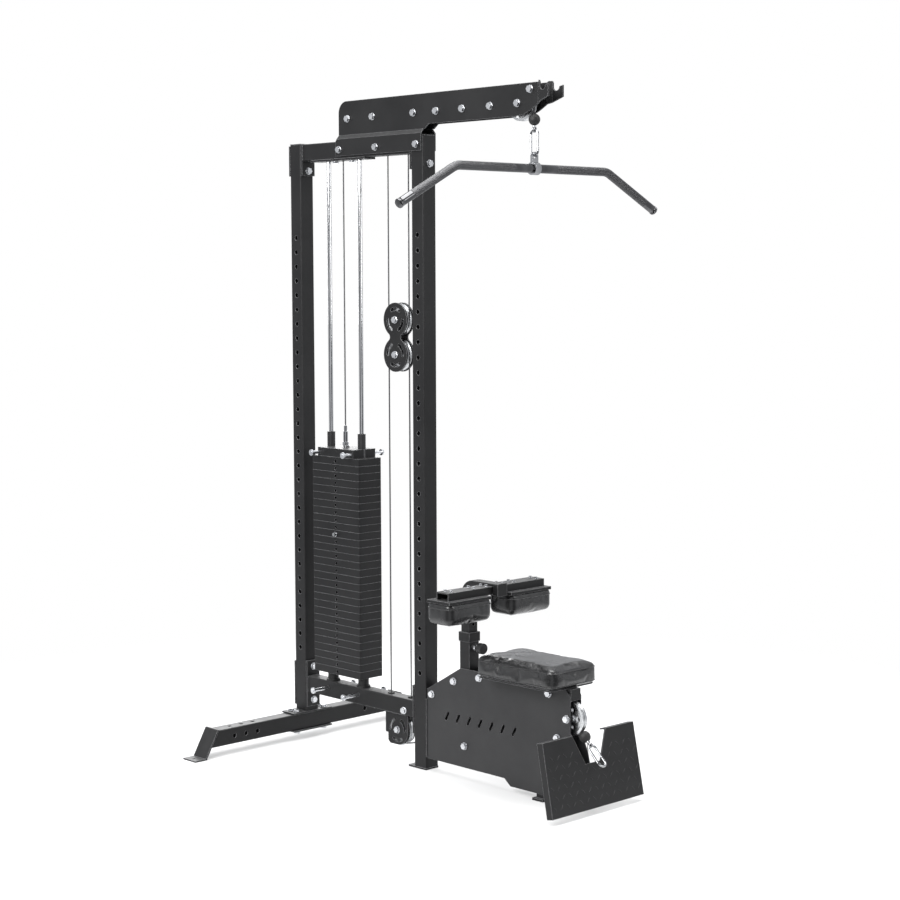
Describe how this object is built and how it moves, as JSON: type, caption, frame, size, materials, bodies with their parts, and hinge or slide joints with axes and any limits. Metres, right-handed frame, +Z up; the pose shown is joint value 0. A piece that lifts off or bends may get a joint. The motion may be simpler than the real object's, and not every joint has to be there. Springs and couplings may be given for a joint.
{
  "type": "lat pulldown and low row machine",
  "caption": "Cable strength machine with two perforated uprights, a pin-selected weight stack, a high pulley arm with a pulldown bar, a seat with knee pads and a low row station.",
  "frame": {"origin": "on the floor, under the centre of the front upright", "axes": "+X forward from the rear upright to the seat, +Y to the machine's left, +Z up"},
  "size_m": [1.4862, 1.1644, 2.27],
  "materials": {
    "black_steel": "satin",
    "weight_steel": "satin",
    "zinc": "bright",
    "chrome": "polished",
    "aluminium": "satin",
    "rubber": "matte",
    "black_plastic": "matte",
    "vinyl": "satin",
    "cable": "satin"
  },
  "bodies": {
    "frame": {"arm_bolts": "zinc", "arm_plate_left": "black_steel", "arm_plate_right": "black_steel", "arm_spacers": "black_steel", "block_lower_runs": "cable", "block_upper_runs": "cable", "bottom_crossbeam": "black_steel", "foot_plate": "black_steel", "frame_bolts": "zinc", "front_feet": "black_steel", "front_upright": "black_steel", "guide_rods": "chrome", "knee_sleeve": "black_steel", "lat_drop": "cable", "rear_brackets": "black_steel", "rear_foot": "black_steel", "rear_upright": "black_steel", "resting_plates": "weight_steel", "row_cable_run": "cable", "rubber_bumpers": "rubber", "seat_bolts": "zinc", "seat_cushion": "vinyl", "seat_plates": "black_steel", "seat_spacers": "black_steel", "stack_cable_run": "cable", "top_crossbeam": "black_steel", "upper_cable_runs": "cable", "upright_caps": "black_plastic"},
    "stack": {"lifted_plates": "weight_steel", "stack_head": "black_steel", "head_fittings": "black_plastic", "selector_rod": "chrome"},
    "selector_pin": {"selector_pin": "chrome"},
    "stack_pulley": {"stack_pulley": "aluminium"},
    "crossover_pulley": {"crossover_pulley": "aluminium"},
    "riser_pulley": {"riser_pulley": "aluminium"},
    "lat_pulley": {"lat_pulley": "aluminium"},
    "pulley_block": {"block_plates": "black_steel", "block_bolts": "zinc", "block_cables": "cable"},
    "block_upper_pulley": {"block_upper_pulley": "aluminium"},
    "block_lower_pulley": {"block_lower_pulley": "aluminium"},
    "return_pulley": {"return_pulley": "aluminium"},
    "row_pulley": {"row_pulley": "aluminium"},
    "row_roller": {"row_roller": "aluminium"},
    "lat_line": {"lat_ball": "rubber"},
    "lat_hook": {"lat_carabiner": "chrome", "lat_eye": "chrome"},
    "lat_gate": {"lat_gate": "chrome"},
    "lat_handle": {"lat_hanger": "chrome", "lat_bar": "chrome"},
    "row_line": {"row_ball": "rubber"},
    "row_hook": {"row_carabiner": "chrome"},
    "row_gate": {"row_gate": "chrome"},
    "knee_rest": {"knee_post": "black_steel", "knee_rails": "black_steel", "knee_bolts": "zinc", "knee_pad_left": "vinyl", "knee_pad_right": "vinyl"},
    "pull_pin": {"pull_pin": "black_plastic"}
  },
  "joints": [
    {"name": "stack_lift", "type": "slide", "parent": "frame", "child": "stack", "axis": [0, 0, 1], "range_m": [0, 0.85], "deforming": ["stack_cable_run"]},
    {"name": "selector_pin_pull", "type": "slide", "parent": "stack", "child": "selector_pin", "axis": [0, -1, 0], "range_m": [0, 0.066]},
    {"name": "lat_pull", "type": "slide", "parent": "frame", "child": "lat_line", "axis": [0, 0, -1], "range_m": [0, 0.85], "deforming": ["lat_drop"]},
    {"name": "lat_swivel", "type": "hinge", "parent": "lat_line", "child": "lat_hook", "pos_m": [0.508, 0, 2.12], "axis": [0, 0, 1], "range_deg": [-80, 80]},
    {"name": "lat_gate_swing", "type": "hinge", "parent": "lat_hook", "child": "lat_gate", "pos_m": [0.523, 0, 2.0709], "axis": [0, -1, 0], "range_deg": [0, 28], "stiffness_Nm_per_rad": 0.12, "springref_deg": -11.46},
    {"name": "lat_bar_tilt", "type": "hinge", "parent": "lat_hook", "child": "lat_handle", "pos_m": [0.508, 0, 2.0415], "axis": [1, 0, 0], "range_deg": [-12, 12]},
    {"name": "stack_pulley_turn", "type": "hinge", "parent": "frame", "child": "stack_pulley", "pos_m": [-0.356, 0, 2.206], "axis": [0, 1, 0], "range_deg": [0, 955.93]},
    {"name": "crossover_pulley_turn", "type": "hinge", "parent": "frame", "child": "crossover_pulley", "pos_m": [-0.227, 0, 2.206], "axis": [0, 1, 0], "range_deg": [0, 955.93]},
    {"name": "riser_pulley_turn", "type": "hinge", "parent": "frame", "child": "riser_pulley", "pos_m": [-0.023, 0, 2.206], "axis": [0, 1, 0], "range_deg": [0, 955.93]},
    {"name": "lat_pulley_turn", "type": "hinge", "parent": "frame", "child": "lat_pulley", "pos_m": [0.457, 0, 2.206], "axis": [0, 1, 0], "range_deg": [0, 955.93]},
    {"name": "block_upper_turn", "type": "hinge", "parent": "pulley_block", "child": "block_upper_pulley", "pos_m": [-0.125, 0, 1.52], "axis": [0, 1, 0], "range_deg": [-955.93, 0]},
    {"name": "block_slide", "type": "slide", "parent": "frame", "child": "pulley_block", "axis": [0, 0, -1], "range_m": [0, 0.42], "deforming": ["block_upper_runs", "block_lower_runs"]},
    {"name": "block_lower_turn", "type": "hinge", "parent": "pulley_block", "child": "block_lower_pulley", "pos_m": [-0.125, 0, 1.402], "axis": [0, 1, 0], "range_deg": [-472.85, 0]},
    {"name": "return_pulley_turn", "type": "hinge", "parent": "frame", "child": "return_pulley", "pos_m": [-0.125, 0, 0.112], "axis": [0, 1, 0], "range_deg": [-944.7, 0]},
    {"name": "row_pulley_turn", "type": "hinge", "parent": "frame", "child": "row_pulley", "pos_m": [0.672, 0, 0.283], "axis": [0, 1, 0], "range_deg": [-944.7, 0]},
    {"name": "row_roller_turn", "type": "hinge", "parent": "frame", "child": "row_roller", "pos_m": [0.632, 0, 0.2165], "axis": [0, 1, 0], "range_deg": [0, 3210.56]},
    {"name": "row_pull", "type": "slide", "parent": "frame", "child": "row_line", "axis": [1, 0, 0], "range_m": [0, 0.84]},
    {"name": "row_hook_swing", "type": "hinge", "parent": "row_line", "child": "row_hook", "pos_m": [0.74691, 0, 0.21043], "axis": [0, 1, 0], "range_deg": [-45, 12]},
    {"name": "row_gate_swing", "type": "hinge", "parent": "row_hook", "child": "row_gate", "pos_m": [0.7834, 0.015, 0.17395], "axis": [0.7071, 0, 0.7071], "range_deg": [0, 28], "stiffness_Nm_per_rad": 0.12, "springref_deg": -11.46},
    {"name": "knee_height", "type": "slide", "parent": "frame", "child": "knee_rest", "axis": [0, 0, 1], "range_m": [-0.0381, 0.1143]},
    {"name": "pull_pin_travel", "type": "slide", "parent": "frame", "child": "pull_pin", "axis": [-1, 0, 0], "range_m": [0, 0.0105]}
  ],
  "couplings": [
    {"joint": "lat_pull", "follows": "stack_lift", "ratio": 1},
    {"joint": "stack_pulley_turn", "follows": "stack_lift", "rad_per_m": 19.608},
    {"joint": "crossover_pulley_turn", "follows": "stack_lift", "rad_per_m": 19.608},
    {"joint": "riser_pulley_turn", "follows": "stack_lift", "rad_per_m": 19.608},
    {"joint": "lat_pulley_turn", "follows": "stack_lift", "rad_per_m": 19.608},
    {"joint": "block_upper_turn", "follows": "stack_lift", "rad_per_m": -19.608},
    {"joint": "block_lower_turn", "follows": "block_slide", "rad_per_m": -19.608},
    {"joint": "return_pulley_turn", "follows": "block_slide", "rad_per_m": -39.216},
    {"joint": "row_pulley_turn", "follows": "block_slide", "rad_per_m": -39.216},
    {"joint": "row_roller_turn", "follows": "block_slide", "rad_per_m": 133.33},
    {"joint": "row_pull", "follows": "block_slide", "ratio": 2}
  ]
}
